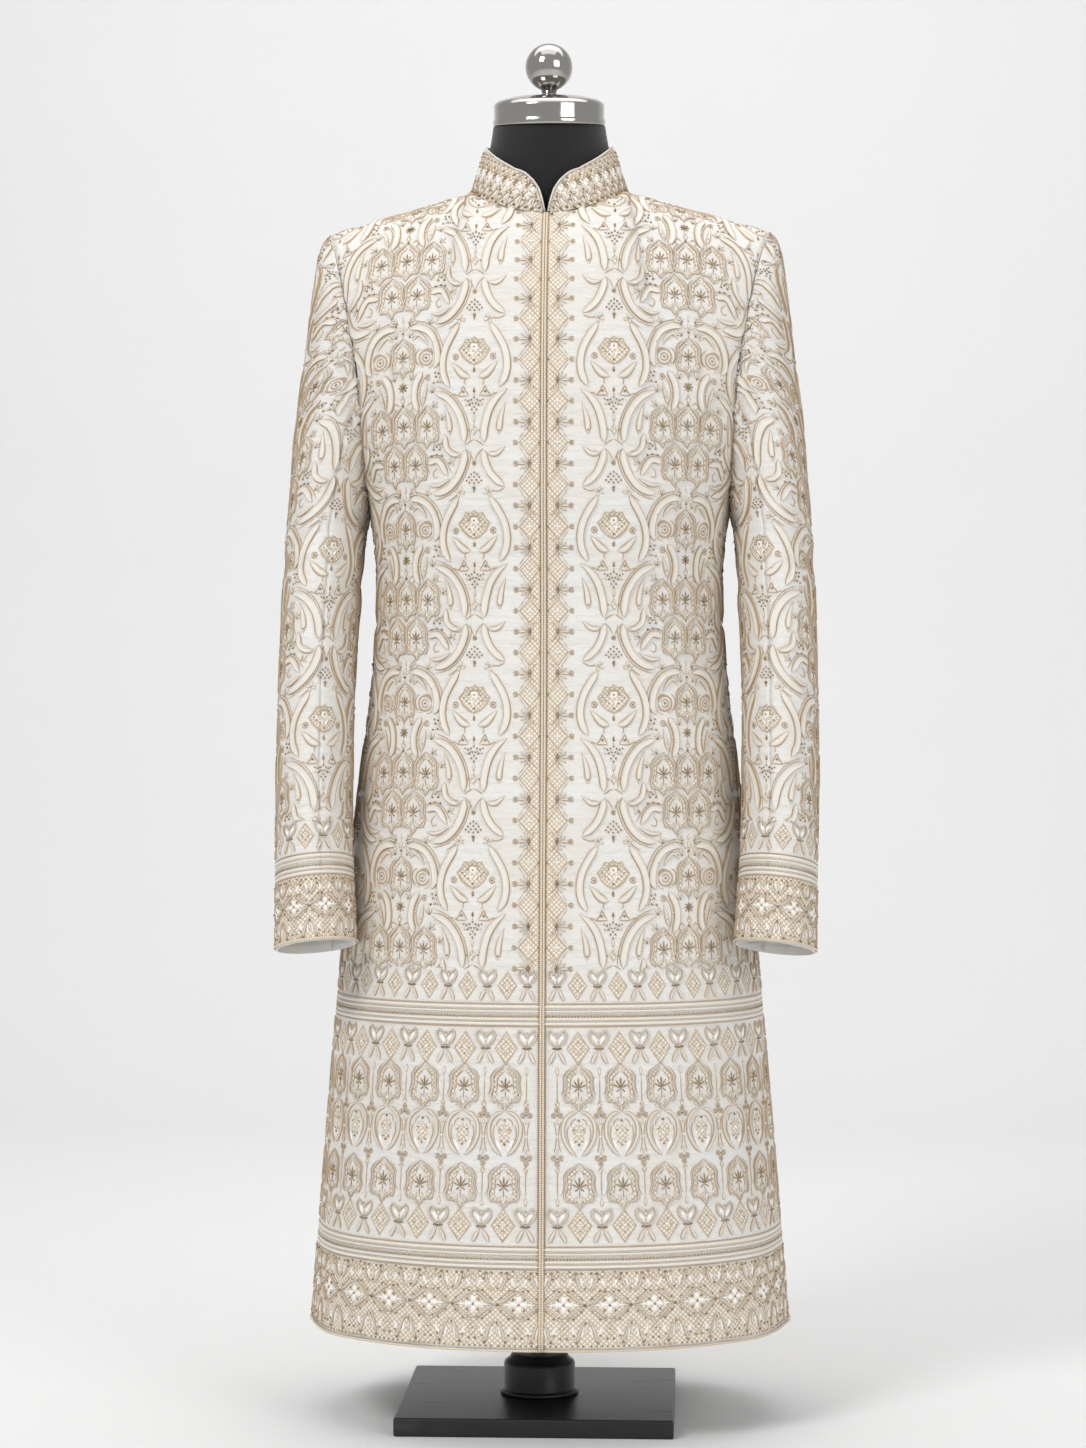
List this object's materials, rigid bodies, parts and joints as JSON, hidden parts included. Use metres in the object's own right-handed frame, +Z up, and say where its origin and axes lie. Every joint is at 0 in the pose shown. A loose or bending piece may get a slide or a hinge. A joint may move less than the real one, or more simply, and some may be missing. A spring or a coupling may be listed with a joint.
{
  "type": "sherwani coat on a dress form",
  "caption": "Knee-length ivory sherwani coat with stand collar, long sleeves and flared skirt, on a limbless black dress form with a flat base.",
  "frame": {"origin": "on the floor, under the centre of the coat's bounding box", "axes": "+Z up along the form's rod, -Y towards the front opening, +X towards the wearer's left sleeve"},
  "size_m": [0.53, 0.3655, 1.3635],
  "materials": {
    "embroidered_cloth": "ivory silk covered with raised cord embroidery in pale gold",
    "ivory_piping": "ivory silk piping",
    "gold_piping": "pale gold metallic cord",
    "form_cover": "matte black jersey cover",
    "polished_metal": "polished chrome",
    "black_steel": "satin black powder coat"
  },
  "bodies": {
    "root": {"coat_front_left": "embroidered_cloth", "coat_front_right": "embroidered_cloth", "coat_back_left": "embroidered_cloth", "coat_back_right": "embroidered_cloth", "sleeve_top_left": "embroidered_cloth", "sleeve_top_right": "embroidered_cloth", "sleeve_under_left": "embroidered_cloth", "sleeve_under_right": "embroidered_cloth", "collar": "embroidered_cloth", "collar_piping": "ivory_piping", "front_piping_left": "gold_piping", "front_piping_right": "gold_piping", "hem_piping_left": "gold_piping", "hem_piping_right": "gold_piping", "cuff_piping_left": "gold_piping", "cuff_piping_right": "gold_piping", "collar_button": "gold_piping", "form_torso": "form_cover", "form_neck": "form_cover", "neck_cap": "polished_metal", "ball_finial": "polished_metal", "stand_rod": "polished_metal", "stand_boss": "black_steel", "base_plate": "black_steel"}
  },
  "joints": []
}
